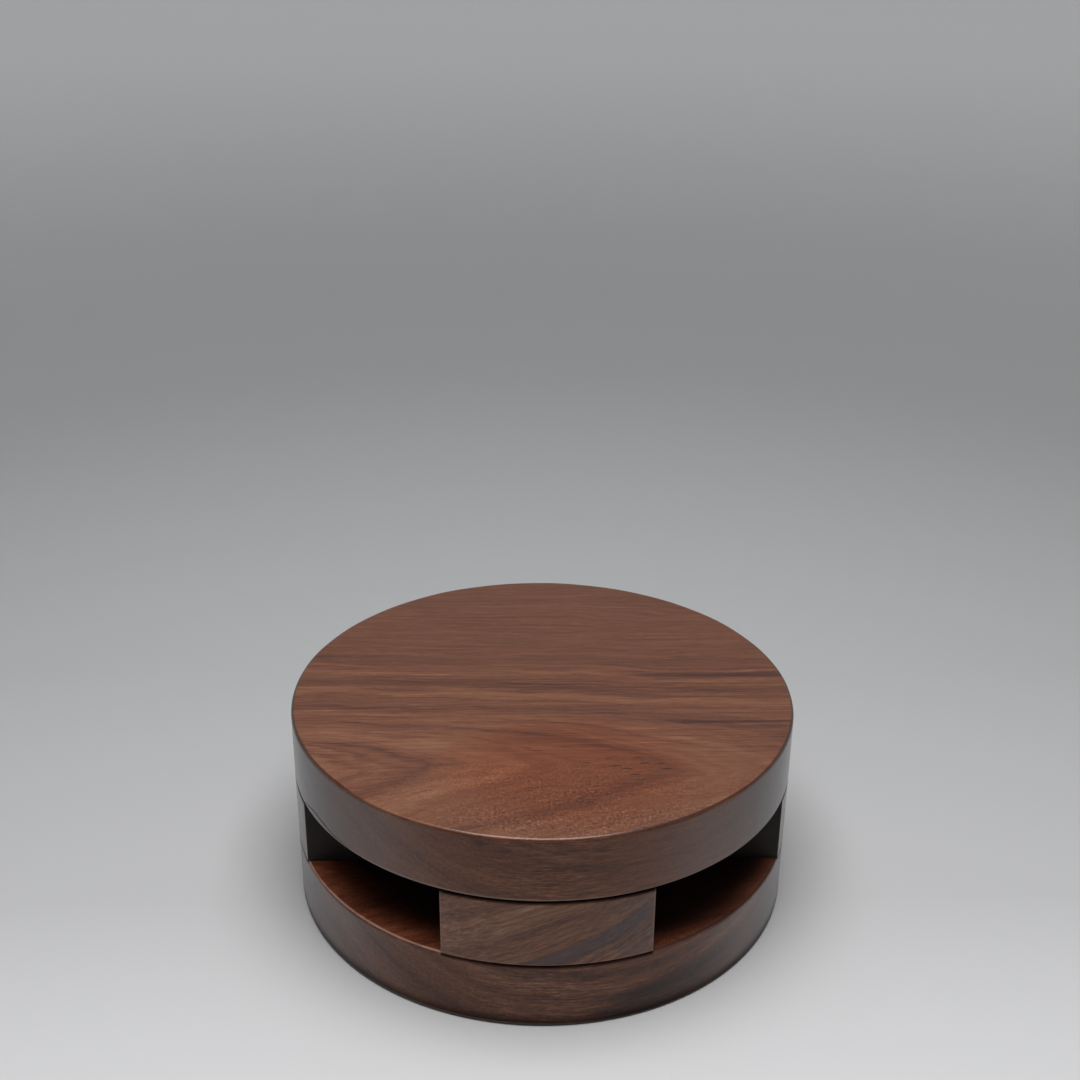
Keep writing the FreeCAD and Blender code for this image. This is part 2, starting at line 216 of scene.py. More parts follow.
def split_cutter(rng, path, width, depth):
    """A thin, ragged wedge that follows the side of a disc. The path holds (degrees, level) points."""
    rim = []
    for (a0, z0), (a1, z1) in zip(path, path[1:]):
        steps = max(2, int(abs(a1 - a0) / 0.35))
        for k in range(steps):
            rim.append((a0 + (a1 - a0) * k / steps, z0 + (z1 - z0) * k / steps))
    rim.append(path[-1])
    mesh = bpy.data.meshes.new("cutter")
    build = bmesh.new()
    rings = []
    for i, (degrees, level) in enumerate(rim):
        share = i / (len(rim) - 1)
        taper = 0.25 + 0.75 * math.sin(math.pi * share) ** 0.5 if 0 < share < 1 else 0.2
        half = width * taper * rng.uniform(0.6, 1.25) / 2
        z = level + rng.uniform(-0.16, 0.16) * MM
        a = math.radians(degrees)
        outer, inner = disc_r + 0.4 * MM, disc_r - depth * taper
        rings.append([
            build.verts.new((outer * math.cos(a), outer * math.sin(a), z + half)),
            build.verts.new((inner * math.cos(a), inner * math.sin(a), z + rng.uniform(-0.3, 0.3) * MM)),
            build.verts.new((outer * math.cos(a), outer * math.sin(a), z - half)),
        ])
    for one, two in zip(rings, rings[1:]):
        for k in range(3):
            m = (k + 1) % 3
            build.faces.new((one[k], one[m], two[m], two[k]))
    build.faces.new(rings[0][::-1])
    build.faces.new(rings[-1])
    bmesh.ops.recalc_face_normals(build, faces=build.faces)
    build.to_mesh(mesh)
    build.free()
    return finished(mesh, "cutter")


def dent_cutter(rng, place, size, turn):
    """A lumpy pebble, used to knock a small dent out of an edge."""
    mesh = bpy.data.meshes.new("cutter")
    build = bmesh.new()
    bmesh.ops.create_icosphere(build, subdivisions=3, radius=1.0)
    for v in build.verts:
        v.co *= rng.uniform(0.86, 1.1)
    stretch = Matrix.Diagonal((*size, 1))
    build.transform(Matrix.Translation(place) @ Matrix.Rotation(turn, 4, "Z") @ stretch)
    build.to_mesh(mesh)
    build.free()
    return finished(mesh, "cutter")


# ---- shading -----------------------------------------------------------------------------------------
class Shader:
    """Builds one material. Every method adds a node and gives back its output socket."""

    def __init__(self, name):
        self.material = bpy.data.materials.new(name)
        self.material.use_nodes = True
        self.tree = self.material.node_tree
        self.tree.nodes.clear()

    def add(self, kind, inputs=None, output=0, **settings):
        node = self.tree.nodes.new(kind)
        for key, value in settings.items():
            setattr(node, key, value)
        for key, value in (inputs or {}).items():
            if isinstance(value, bpy.types.NodeSocket):
                self.tree.links.new(value, node.inputs[key])
            else:
                node.inputs[key].default_value = value
        return node.outputs[output] if node.outputs else None

    def position(self):
        """The place in the piece's own frame, in millimetres."""
        metres = self.add("ShaderNodeTexCoord", output="Object")
        return self.add("ShaderNodeVectorMath", {0: metres, "Scale": 1000.0}, operation="SCALE")

    def math(self, operation, a, b=0.0, c=0.0, clamp=False):
        return self.add("ShaderNodeMath", {0: a, 1: b, 2: c}, operation=operation, use_clamp=clamp)

    def times(self, a, b):
        return self.math("MULTIPLY", a, b)

    def inverse(self, share):
        return self.math("SUBTRACT", 1.0, share)

    def plus(self, a, b):
        return self.math("ADD", a, b)

    def parts(self, vector):
        """The x, y and z of a vector."""
        node = self.add("ShaderNodeSeparateXYZ", {0: vector}).node
        return node.outputs[0], node.outputs[1], node.outputs[2]

    def vector(self, x, y, z):
        return self.add("ShaderNodeCombineXYZ", {0: x, 1: y, 2: z})

    def moved(self, vector, way):
        return self.add("ShaderNodeVectorMath", {0: vector, 1: way}, operation="ADD")

    def stretched(self, vector, x, y, z):
        """The vector with each part divided by a length, so that a pattern repeats over that length."""
        return self.add("ShaderNodeVectorMath", {0: vector, 1: (1 / x, 1 / y, 1 / z)}, operation="MULTIPLY")

    def noise(self, vector, scale=1.0, detail=2.0, roughness=0.5, distortion=0.0):
        inputs = {"Vector": vector, "Scale": scale, "Detail": detail, "Roughness": roughness}
        inputs["Distortion"] = distortion
        inputs["Lacunarity"] = 2.3
        return self.add("ShaderNodeTexNoise", inputs)

    def noise_along(self, value, scale, detail=2.0, roughness=0.5):
        """One-dimensional noise."""
        inputs = {"W": value, "Scale": scale, "Detail": detail, "Roughness": roughness}
        return self.add("ShaderNodeTexNoise", inputs, noise_dimensions="1D")

    def swing(self, noise, reach):
        """Noise moved to lie between about -reach and reach."""
        return self.math("MULTIPLY_ADD", noise, 2.0 * reach, -reach)

    def off_spot(self, a, b, spot, lean=0.0):
        """How far a point (a, b) is off a spot, squared: 0 in its middle and 1 at its reach. The spot is its
        middle's two values and then its reach in each. The lean turns it into a slanting one."""
        middle_a, middle_b, reach_a, reach_b = spot
        off_a = self.times(self.plus(a, -middle_a), 1 / reach_a)
        off_b = self.plus(b, -middle_b)
        if lean:
            off_b = self.plus(off_b, self.times(off_a, -lean * reach_b))
        off_b = self.times(off_b, 1 / reach_b)
        return self.plus(self.times(off_a, off_a), self.times(off_b, off_b))

    def ramp(self, value, stops):
        """A colour ramp. The stops are (place, colour)."""
        socket = self.add("ShaderNodeValToRGB", {0: value})
        elements = socket.node.color_ramp.elements
        while len(elements) < len(stops):
            elements.new(0.5)
        for element, (place, colour) in zip(elements, stops):
            element.position = place
            element.color = (*colour, 1.0)
        return socket

    def step(self, value, low, high):
        """0 below low, 1 above high, and smooth between them."""
        inputs = {"Value": value, "From Min": low, "From Max": high}
        return self.add("ShaderNodeMapRange", inputs, interpolation_type="SMOOTHSTEP")

    def span(self, value, low, high):
        """A value between 0 and 1 moved to lie between low and high."""
        return self.add("ShaderNodeMapRange", {"Value": value, "To Min": low, "To Max": high})

    def mix(self, share, a, b, blend="MIX"):
        """Two colours mixed."""
        inputs = {0: share}
        for key, value in ((6, a), (7, b)):
            inputs[key] = (*value, 1.0) if isinstance(value, tuple) else value
        return self.add("ShaderNodeMix", inputs, output=2, data_type="RGBA", blend_type=blend)

    def finish(self, inputs, height=None, depth=1.0, lean=1.0):
        """Ends the material with one shader. The height, in units of depth, is laid on as a bump."""
        if height is not None:
            bump = {"Height": height, "Distance": depth, "Strength": lean}
            inputs["Normal"] = self.add("ShaderNodeBump", bump)
        surface = self.add("ShaderNodeBsdfPrincipled", inputs)
        self.add("ShaderNodeOutputMaterial", {"Surface": surface})
        return self.material


# ---- walnut ------------------------------------------------------------------------------------------
# Lengths in this part are millimetres. The numbers given to stretched() are the lengths over which a pattern
# repeats along X, Y and Z.
WALNUT_DARK = (0.030, 0.012, 0.009)
WALNUT_DEEP = (0.080, 0.025, 0.014)
WALNUT_MID = (0.155, 0.047, 0.022)
WALNUT_WARM = (0.235, 0.083, 0.038)
WALNUT_LIGHT = (0.345, 0.152, 0.082)
WALNUT_GREY = (0.048, 0.036, 0.034)
NEARLY_BLACK = (0.006, 0.004, 0.003)
# painted shade for the walls of the openings
PAINTED_WALL_SHADE = (0.029, 0.026, 0.025)
# a painted highlight for the lower edge of a disc's side
LIP_HIGHLIGHT_COLOUR = (0.24, 0.19, 0.16)
walnut_tones = [(0.0, WALNUT_DARK), (0.27, WALNUT_DEEP), (0.5, WALNUT_MID), (0.73, WALNUT_WARM),
                (1.0, WALNUT_LIGHT)]

# widths of what the growth rings show, from broad zones of tone down to fine lines
zone_width = 15.0
late_wood_width = 6.3
band_width = 3.4
line_width = 1.5


def arched_rings(s, x, y, z, grain, pith_y=-86.0, climb=0.24, climb_until=85.0):
    """How far a point lies out through the rings of a flat-sawn board. The rings arch over the pith line at
    pith_y and climb along X, so that a level face shows nested pointed arches there and straight bands
    behind. The second value is the distance from the pith line."""
    sway = s.swing(s.noise(s.stretched(grain, 110, 44, 50), detail=2.0), 13.0)
    v = s.plus(s.plus(y, -pith_y), sway)
    squared = s.times(v, v)
    point = s.math("SQRT", s.plus(squared, 5.0))
    bow = s.math("SQRT", s.plus(squared, 1600.0))
    behind = s.math("SMOOTH_MAX", s.plus(v, -30.0), 0.0, 20.0)
    arch = s.plus(s.times(point, 0.28), s.plus(s.times(bow, 0.40), s.times(behind, 0.40)))
    here_range = {"Value": v, "From Min": 20.0, "From Max": climb_until, "To Min": 1.0, "To Max": 0.12}
    here = s.add("ShaderNodeMapRange", here_range, interpolation_type="SMOOTHSTEP")
    run = s.plus(x, s.swing(s.noise(s.stretched(grain, 38, 3.2, 3.2), detail=3, roughness=0.6), 9.0))
    rise = s.times(s.times(run, here), climb)
    return s.plus(s.plus(z, arch), rise), v


def slanted_rings(s, x, y, z, grain, across=-0.45, away=0.25, bow=-0.0015):
    """Rings that cross the piece as nearly flat, slanting layers. The second value stands for a place far
    behind any arches."""
    sway = s.swing(s.noise(s.stretched(grain, 46, 46, 30), detail=2.0), 3.0)
    curve = s.times(s.times(x, x), bow)
    ring = s.plus(s.plus(s.times(x, across), s.times(y, away)), s.plus(s.plus(z, sway), curve))
    return ring, s.plus(x, 500.0)


def wood_frame(s, rings, seed, slant, along_rings, lay):
    """What every later step works from: the place, the depth through the rings, the frame of the fibres, how
    level the face is, and how far the place is in front of the arches or behind them."""
    place = s.position()
    seeded = s.moved(place, (seed, seed * 0.7, seed * 1.3))
    x, y, z = s.parts(place)
    ring, v = rings(s, x, y, z, seeded, **lay)
    ripple = s.swing(s.noise(s.stretched(seeded, 22, 7, 8), detail=3, roughness=0.6), 1.5)
    ring = s.plus(ring, ripple)

    # the fibres run along X and lean over in front of the arches, or else they follow the rings
    if along_rings:
        fibre_place = s.vector(s.plus(x, seed), s.plus(y, seed * 0.7), ring)
    else:
        lean = s.times(s.times(s.plus(x, 60.0), s.step(v, 12.0, -38.0)), -slant)
        slide = s.swing(s.noise(s.stretched(seeded, 300, 2.3, 2.3), detail=1.0), 70.0)
        run = s.plus(s.plus(x, seed), slide)
        fibre_place = s.vector(run, s.plus(s.plus(y, lean), seed * 0.7), s.plus(z, seed * 1.3))
    fray = s.swing(s.noise(s.stretched(fibre_place, 9, 0.9, 0.9), detail=2), 0.7)

    # the figure shows most in the middle, less in the arches' fine lines, and least behind
    up = s.parts(s.add("ShaderNodeNewGeometry", output="Normal"))[2]
    level = s.step(up, 0.5, 0.9)
    front = s.step(v, 30.0, -5.0)
    behind = s.times(s.step(v, 100.0, 135.0), level)
    fine = s.plus(s.math("MULTIPLY_ADD", front, -0.4, 1.0), s.times(behind, -0.35))
    return SimpleNamespace(
        seed=seed, seeded=seeded, x=x, y=y, z=z, v=v, ring=s.plus(ring, fray), ripple=ripple, fray=fray,
        fibre_place=fibre_place, up=up, level=level, upright=s.inverse(level), front=front, behind=behind,
        fine=fine, radius=s.math("SQRT", s.plus(s.times(x, x), s.times(y, y))),
    )


def ring_tone(s, w, contrast, growth, dark_side_spot, streaks):
    """The tone of the growth rings, where 0 is neutral. growth holds (depth, tone) of single rings, and 0.5
    is neutral there. dark_side_spot is a slanting dark spot on the side, (x, z, reach, reach, strength).
    Streaks run along level faces, each (y, half width, x where it starts, x where it is full, strength)."""
    zones = s.noise_along(s.plus(w.ring, w.seed), 1 / zone_width, detail=1.5)
    bands = s.noise_along(s.plus(w.ring, w.seed * 3.1), 1 / band_width, detail=2.0, roughness=0.55)
    lines = s.noise_along(s.plus(w.ring, w.seed * 5.3), 1 / line_width, detail=1.0)
    edge = s.math("FRACT", s.times(s.plus(w.ring, s.swing(zones, 5.0)), 1 / late_wood_width))
    late_here = s.step(s.noise(s.stretched(w.seeded, 90, 14, 14)), 0.40, 0.62)
    late = s.times(s.math("POWER", edge, 6.0), late_here)
    patchy = s.span(s.step(s.noise(s.stretched(w.seeded, 60, 22, 22), detail=1.0), 0.36, 0.64), 0.3, 1.0)
    tone = s.plus(s.swing(bands, 0.24 * contrast), s.swing(lines, 0.12 * contrast))
    tone = s.times(s.plus(tone, s.times(late, -0.14 * contrast)), s.times(w.fine, patchy))
    broad = s.swing(zones, 0.30 * contrast)
    if growth:
        first, last = growth[0][0], growth[-1][0]
        share = s.add("ShaderNodeMapRange", {"Value": w.ring, "From Min": first, "From Max": last})
        stops = [((depth - first) / (last - first), (grey, grey, grey)) for depth, grey in growth]
        told = s.times(s.swing(s.ramp(share, stops), 0.5), s.span(w.level, 0.5, 0.85))
        broad = s.plus(s.times(broad, s.math("MULTIPLY_ADD", w.front, -0.1, 0.6)), told)
    tone = s.plus(tone, s.times(broad, s.math("MULTIPLY_ADD", w.behind, -0.5, 1.0)))
    # a slanting darker spot on the side
    if dark_side_spot:
        *spot, strength = dark_side_spot
        off = s.off_spot(w.x, w.z, spot, lean=0.6)
        tone = s.plus(tone, s.times(s.step(off, 1.3, 0.1), -strength))
    wavy_y = s.plus(w.y, s.plus(s.times(w.ripple, 0.8), w.fray))
    for y, half_width, start, full, strength in streaks:
        away = s.math("ABSOLUTE", s.plus(wavy_y, -y))
        band = s.times(s.step(away, half_width, half_width * 0.15), s.step(w.x, start, full))
        tone = s.plus(tone, s.times(s.times(band, w.level), strength))
    return tone


def fibre_tone(s, w, contrast, checks_reach):
    """What the fibres add to the tone: fine ones, long threads, a faint shimmer across them, grit where they
    dive out of a level face, and level checks on upright faces. Gives the tone, the fibres and where the
    grit lies."""
    fibres = s.noise(s.stretched(w.fibre_place, 8, 1.2, 1.2), detail=3, roughness=0.7)
    thread_place = s.stretched(w.fibre_place, 60, 1.9, 1.9)
    threads = s.noise(thread_place, detail=3, roughness=0.6)
    more_threads = s.noise(s.moved(thread_place, (7.5, 3.3, 9.1)), detail=2, roughness=0.6)
    threads = s.times(s.plus(threads, more_threads), 0.5)
    shimmer = s.noise(s.stretched(w.fibre_place, 8, 30, 30), detail=1.5, distortion=0.5)
    grit = s.noise(s.stretched(w.seeded, 1.5, 1.9, 1.9), detail=2, roughness=0.8)
    patches = s.step(s.noise(s.stretched(w.seeded, 45, 25, 25)), 0.30, 0.60)
    gritty = s.times(s.step(w.v, 24.0, -26.0), patches)
    gritty = s.times(s.times(gritty, w.level), s.span(s.step(w.x, -85.0, -10.0), 0.3, 1.0))
    gritty = s.times(gritty, s.span(s.step(w.x, 95.0, 30.0), 0.4, 1.0))
    checks = s.noise(s.stretched(w.seeded, 13, 13, 0.8), detail=3, roughness=0.7)
    middle = s.step(s.math("ABSOLUTE", s.plus(w.x, -4.0)), 62.0, 8.0)
    checks = s.times(s.swing(checks, checks_reach), s.times(w.upright, s.span(middle, 0.25, 1.0)))
    tone = s.plus(s.swing(fibres, 0.40), s.times(s.swing(threads, 0.46 * contrast), w.fine))
    tone = s.plus(tone, s.plus(s.swing(shimmer, 0.07), s.times(s.swing(grit, 0.85), gritty)))
    return s.plus(tone, checks), fibres, gritty


def open_pores(s, w, gritty, dashes):
    """Where the pores are open: fine ones along the fibres, shorter ones in the grit, and a few long dark
    dashes inside one spot of a level face, (x, y, reach, reach)."""
    along = s.add("ShaderNodeTexVoronoi", {"Vector": s.stretched(w.fibre_place, 6.5, 0.75, 0.75)})
    cut = s.add("ShaderNodeTexVoronoi", {"Vector": s.stretched(w.seeded, 1.9, 1.4, 1.4)})
    crowd = s.noise(s.stretched(w.seeded, 40, 9, 9), detail=2)
    along_mask = s.times(s.step(along, 0.34, 0.14), s.step(crowd, 0.42, 0.62))
    cut_mask = s.times(s.step(cut, 0.40, 0.16), s.times(gritty, s.step(crowd, 0.38, 0.6)))
    pores = s.math("MAXIMUM", along_mask, cut_mask)
    if dashes:
        off = s.off_spot(w.x, w.y, dashes)
        dash_place = s.stretched(w.seeded, 13.0, 2.6, 2.6)
        marks = s.add("ShaderNodeTexVoronoi", {"Vector": dash_place, "Scale": 1.0})
        near = s.times(s.step(off, 1.1, 0.6), 1.5)
        pores = s.math("MAXIMUM", pores, s.times(s.step(marks, 0.32, 0.14), near))
    return pores


def tinted(s, w, colour, warm_shade_spot, end_tint, level_tint):
    """The colour tinted as a painted reflection of the pale room in the lacquer, redder in front and greyer
    behind, or level_tint, on level faces, and end_tint on upright ones. warm_shade_spot is painted warm
    shade on a level face, (x, y, reach, reach)."""
    tint = s.mix(s.step(w.v, -10.0, 120.0), (1.07, 1.28, 1.48), (0.96, 1.14, 1.28))
    # painted warm shade on one spot of a level face
    if warm_shade_spot:
        off = s.off_spot(w.x, w.y, warm_shade_spot)
        tint = s.mix(s.step(off, 1.0, 0.1), tint, (0.98, 0.88, 0.78))
    tint = s.mix(w.level, end_tint, level_tint or tint)
    return s.mix(1.0, colour, tint, blend="MULTIPLY")


def shaded(s, w, colour, shade, upright_shade, dark_foot, seam_shade, blocks_reach):
    """The colour made darker: as a whole by shade, on upright faces by painted shade, towards the foot below
    dark_foot, and by painted shade in the seam at the head, between the two heights of seam_shade. With
    blocks_reach, the seam's shade lies only under the blocks, which reach that far to each side of the
    middle. Gives the colour, and where it is not darkened."""
    # painted shade on upright faces, which stands in for the weaker light on them
    depth_of_tone = s.times(s.span(w.level, upright_shade, 1.0), shade)
    undarkened = 1.0
    # darker towards the foot, with less lacquer there
    if dark_foot:
        undarkened = s.math("MAXIMUM", s.step(w.z, 0.5, dark_foot), s.step(w.up, -0.4, -0.9))
    depth_of_tone = s.times(depth_of_tone, s.span(undarkened, 0.2, 1.0))
    # painted shade in the seam under the top disc, or on the base under the blocks
    if seam_shade:
        dark_at, dark_from = seam_shade
        head = s.step(w.z, dark_from, dark_at)
        if blocks_reach:
            off_axis = s.math("MINIMUM", s.math("ABSOLUTE", w.x), s.math("ABSOLUTE", w.y))
            head = s.times(head, s.step(off_axis, blocks_reach + 0.4, blocks_reach - 0.4))
        depth_of_tone = s.times(depth_of_tone, s.span(head, 1.0, 0.15))
        undarkened = s.math("MINIMUM", undarkened, s.inverse(head))
    grey = s.vector(depth_of_tone, depth_of_tone, depth_of_tone)
    return s.mix(1.0, colour, grey, blend="MULTIPLY"), undarkened


def walnut(name, rings, seed, shade=1.0, upright_shade=0.8, contrast=1.0, slant=0.40, growth=None, streaks=(),
           grey_band=None, shaded_inside=None, dark_foot=None, dark_side_spot=None, rim_wear_and_highlight=0.6, dashes=None,
           shaded_walls=False, sheen_angles=(0.25, 0.80), glossy=(0.20, 0.46), warm_shade_spot=None, heights=None,
           rim_lit_span=None, highlighted_ends=None, end_tint=(0.96, 1.05, 1.06), level_tint=None, seam_shade=None,
           blocks_reach=None, along_rings=False, worn_highlight_colour=WALNUT_LIGHT, gloss=0.66, lay=None):
    """Solid walnut, worked out in three dimensions. rings() gives the depth through the growth rings, with
    the settings in lay, and the seed moves all the noise. The steps above explain their own settings, and
    these are the others:

    - shade, upright_shade: the brightness of the whole, and painted shade on upright faces against level
      ones.
    - contrast: how strongly the rings and threads stand out.
    - slant: how far the fibres lean over in front of the arches.
    - grey_band: the two depths between which the rings are grey.
    - heights: the lowest and highest z of a disc. A disc has stronger checks on its side, painted shade
      inside a cut in its side, a painted highlight along the lower edge of its side, and its upper rim only
      made paler.
    - rim_wear_and_highlight, worn_highlight_colour: how strongly the rounded upper edge is made paler, as
      wear and as a painted highlight, and to which colour.
    - rim_lit_span: four x, between which the rim's wear and painted highlight comes, stays and goes; beyond
      them the rounded edge gets painted dark shade.
    - highlighted_ends: the x of a block's end edges, and the z of its lower edge, which get a painted
      highlight.
    - shaded_inside: painted shade on level faces inside the openings, stronger to the right. The radius up
      to which a level face is dark, and the radius from which it is unshaded.
    - shaded_walls: faces that do not point outward get painted shade, nearly black, and no lacquer.
    - sheen_angles, glossy: between which angles a painted sheen greys upright faces, and the lacquer shows.
    - gloss: the most that the lacquer shows."""
    s = Shader(name)
    w = wood_frame(s, rings, seed, slant, along_rings, lay or {})
    fibre, fibres, gritty = fibre_tone(s, w, contrast, checks_reach=0.85 if heights else 0.15)
    tone = s.plus(ring_tone(s, w, contrast, growth, dark_side_spot, streaks), s.plus(fibre, 0.5))
    colour = s.ramp(tone, walnut_tones)
    pores = open_pores(s, w, gritty, dashes)
    colour = s.mix(s.times(pores, 0.5), colour, WALNUT_DARK)
    if grey_band:
        low, high = grey_band
        inside = s.times(s.step(w.ring, low, low + 8.0), s.step(w.ring, high, high - 5.0))
        inside = s.math("MAXIMUM", inside, s.times(s.step(w.x, 15.0, 60.0), 0.45))
        colour = s.mix(s.times(inside, 0.62), colour, WALNUT_GREY)
    colour = tinted(s, w, colour, warm_shade_spot, end_tint, level_tint)
    colour, undarkened = shaded(s, w, colour, shade, upright_shade, dark_foot, seam_shade, blocks_reach)

    # the rounded upper edges are made paler in places, partly as wear and partly as a painted highlight, and
    # a cut in a disc's side gets painted shade inside
    arris = s.times(s.step(w.up, 0.55, 0.75), s.step(w.up, 0.985, 0.93))
    if heights:
        low, high = heights
        arris = s.times(arris, s.step(w.z, high - 3.2, high - 2.6))
        # painted shade, nearly black, inside a cut in the disc's side
        between = s.times(s.step(w.z, low + 1.0, low + 1.4), s.step(w.z, high - 2.6, high - 3.2))
        split_shade = s.times(s.step(w.radius, disc_r / MM - 0.04, disc_r / MM - 0.14), between)
        colour = s.mix(s.times(split_shade, 0.9), colour, NEARLY_BLACK)
    rim_patches = s.span(s.noise(s.stretched(w.seeded, 9, 9, 9), detail=3), 0.1, 0.9)
    lit = 1.0
    # the rim is lit between these x, with wear and a painted highlight; beyond them it gets painted dark
    # shade
    if rim_lit_span:
        comes, full, stays, gone = rim_lit_span
        lit = s.times(s.step(w.x, comes, full), s.step(w.x, gone, stays))
        colour = s.mix(s.times(s.times(arris, s.inverse(lit)), 0.8), colour, WALNUT_DARK)
    colour = s.mix(s.times(s.times(arris, rim_patches), s.times(lit, rim_wear_and_highlight)), colour, worn_highlight_colour)
    # a painted highlight along the block's end edges and lower edge
    if highlighted_ends:
        end, foot = highlighted_ends
        end_highlight = s.step(s.math("ABSOLUTE", w.x), end - 0.9, end - 0.4)
        end_highlight = s.math("MAXIMUM", end_highlight, s.step(w.z, foot + 0.8, foot + 0.4))
        colour = s.mix(s.times(end_highlight, 0.35), colour, WALNUT_LIGHT)
    # painted shade on level faces inside the openings, stronger to the right
    if shaded_inside:
        dark_to, pale_from = shaded_inside
        inner_shade = s.step(s.plus(w.radius, s.times(w.x, -0.08)), pale_from, dark_to)
        colour = s.mix(s.times(inner_shade, s.times(w.level, 0.88)), colour, NEARLY_BLACK)
    # painted shade, nearly black and without lacquer, on the faces that do not point outward
    if shaded_walls:
        facing_x, facing_y, _ = s.parts(s.add("ShaderNodeTexCoord", output="Normal"))
        outward = s.plus(s.times(facing_x, w.x), s.times(facing_y, w.y))
        sideways = s.math("SQRT", s.plus(s.times(facing_x, facing_x), s.times(facing_y, facing_y)))
        outward = s.math("DIVIDE", outward, s.math("MAXIMUM", s.times(sideways, w.radius), 0.001))
        wall_shade = s.step(outward, 0.95, 0.85)
        colour = s.mix(s.times(wall_shade, 0.96), colour, PAINTED_WALL_SHADE)
        undarkened = s.math("MINIMUM", undarkened, s.inverse(wall_shade))

    # the lacquer shows most at a glancing angle and on the rounded edges; a painted sheen greys glancing
    # upright faces
    worn = s.step(w.up, 0.93, 0.995)
    glancing = s.add("ShaderNodeLayerWeight", {"Blend": 0.5}, output="Facing")
    painted_sheen = s.times(s.step(glancing, *sheen_angles), s.times(w.upright, 0.95))
    colour = s.mix(painted_sheen, colour, WALNUT_GREY)
    if heights:
        # a painted highlight along the lower edge of a disc's side, on the left
        lip_highlight = s.times(s.step(w.z, low + 1.7, low + 1.0), s.step(w.up, -0.9, -0.2))
        lip_highlight = s.times(lip_highlight, s.times(s.step(w.x, 70.0, -30.0), s.inverse(split_shade)))
        colour = s.mix(s.times(lip_highlight, 0.4), colour, LIP_HIGHLIGHT_COLOUR)
    coat = s.times(s.step(glancing, *glossy), s.math("MULTIPLY_ADD", worn, -0.40, gloss))
    coat = s.times(s.math("MAXIMUM", coat, s.times(arris, s.span(lit, 0.05, 0.55))), undarkened)
    rough = s.plus(s.span(fibres, 0.36, 0.46), s.times(pores, 0.2))
    return s.finish({
        "Base Color": colour,
        "Roughness": s.plus(rough, s.times(worn, 0.06)),
        "Specular IOR Level": s.span(undarkened, 0.05, 0.30),
        "Coat Weight": coat,
        "Coat Roughness": 0.17,
    }, s.plus(s.times(pores, -1.0), s.times(fibres, 0.35)), depth=0.05 * MM, lean=0.6)


def metal(name, colour, roughness, brushed=(1.0, 1.0, 1.0), mottle=0.12, depth=0.02 * MM):
    """Metal with tool marks along one direction, and a slow drift of tone and gloss."""
    s = Shader(name)
    place = s.position()
    marks = s.noise(s.stretched(place, *brushed), detail=3, roughness=0.6)
    drift = s.noise(place, scale=0.09, detail=3)
    tone = s.plus(s.swing(drift, mottle), 1.0)
    tint = s.mix(1.0, (*colour,), s.vector(tone, tone, tone), blend="MULTIPLY")
    rough = s.plus(s.swing(marks, 0.12), roughness)
    inputs = {"Base Color": tint, "Roughness": rough, "Metallic": 1.0}
    return s.finish(inputs, marks, depth=depth, lean=0.5)


def moulded(name, colour, roughness, grain=0.8, depth=0.04 * MM):
    """Rubber, plastic or plain light wood, with a fine grain and a little dust in it."""
    s = Shader(name)
    place = s.position()
    texture = s.noise(place, scale=1 / grain, detail=3, roughness=0.6)
    dust = s.step(s.noise(place, scale=0.12, detail=4, roughness=0.7), 0.45, 0.8)
    tint = s.mix(s.times(dust, 0.35), (*colour,), tuple(min(1.0, c * 1.6 + 0.02) for c in colour))
    rough = s.plus(s.swing(texture, 0.1), roughness)
    return s.finish({"Base Color": tint, "Roughness": rough}, texture, depth=depth, lean=0.5)


# ---- the wooden discs --------------------------------------------------------------------------------
def top_profile(wear):
    """The top disc's half outline: a round upper rim, and a pocket for the flange plate in its underside."""
    def profile_at(angle):
        rim = upper_rim_round * (1 + rim_wear * wear(angle))
        under = top_under_round * (1 + under_wear * wear(angle + 2.0))
        high, low, r = top_high.z, top_low.z, disc_r
        pocket_r = plate_high.x + plate_gap
        corners = [(0, high, 0)]
        corners += [(r * share, high, 0) for share in (0.25, 0.5, 0.75, 0.9, 0.97)]
        corners += [(r - rim_margin, high, 0), (r, high, rim), (r, high - rim_margin, 0)]
        corners += [(r, high + (low - high) * share, 0) for share in (0.25, 0.5, 0.75)]
        corners += [(r, low + under_margin, 0), (r, low, under), (r - under_margin, low, 0)]
        corners += [(r * share, low, 0) for share in (0.9, 0.7, 0.5)]
        corners += [(pocket_r, low, 0), (pocket_r, plate_high.z, 0), (0, plate_high.z, 0)]
        return with_round_corners(corners)

    return profile_at


def base_profile(wear):
    """The base disc's outline: a hole for the retaining bolt, with a shallow pocket for the cap below it."""
    def profile_at(angle):
        rim = upper_rim_round * (1 + rim_wear * wear(angle))
        high, low, r = base_high.z, base_low.z, disc_r
        cap_r = cap_high.x
        corners = [(bolt_hole_r, high, 0)]
        corners += [(r * share, high, 0) for share in (0.3, 0.5, 0.75, 0.9, 0.97)]
        corners += [(r - rim_margin, high, 0), (r, high, rim), (r, high - rim_margin, 0)]
        corners += [(r, high + (low - high) * share, 0) for share in (0.3, 0.5, 0.7)]
        corners += [(r, low + foot_margin, 0), (r, low, base_foot_round), (r - foot_margin, low, 0)]
        corners += [(r * share, low, 0) for share in (0.9, 0.7, 0.5, 0.3)]
        corners += [(cap_r, low, 0), (cap_r, low + cap_pocket_depth, 0)]
        corners += [(bolt_hole_r, low + cap_pocket_depth, 0)]
        return with_round_corners(corners)

    return profile_at


rng = random.Random(14)
top = finished(turned_mesh("walnut_top_disc", top_profile(wander(rng))), "walnut_top_disc")

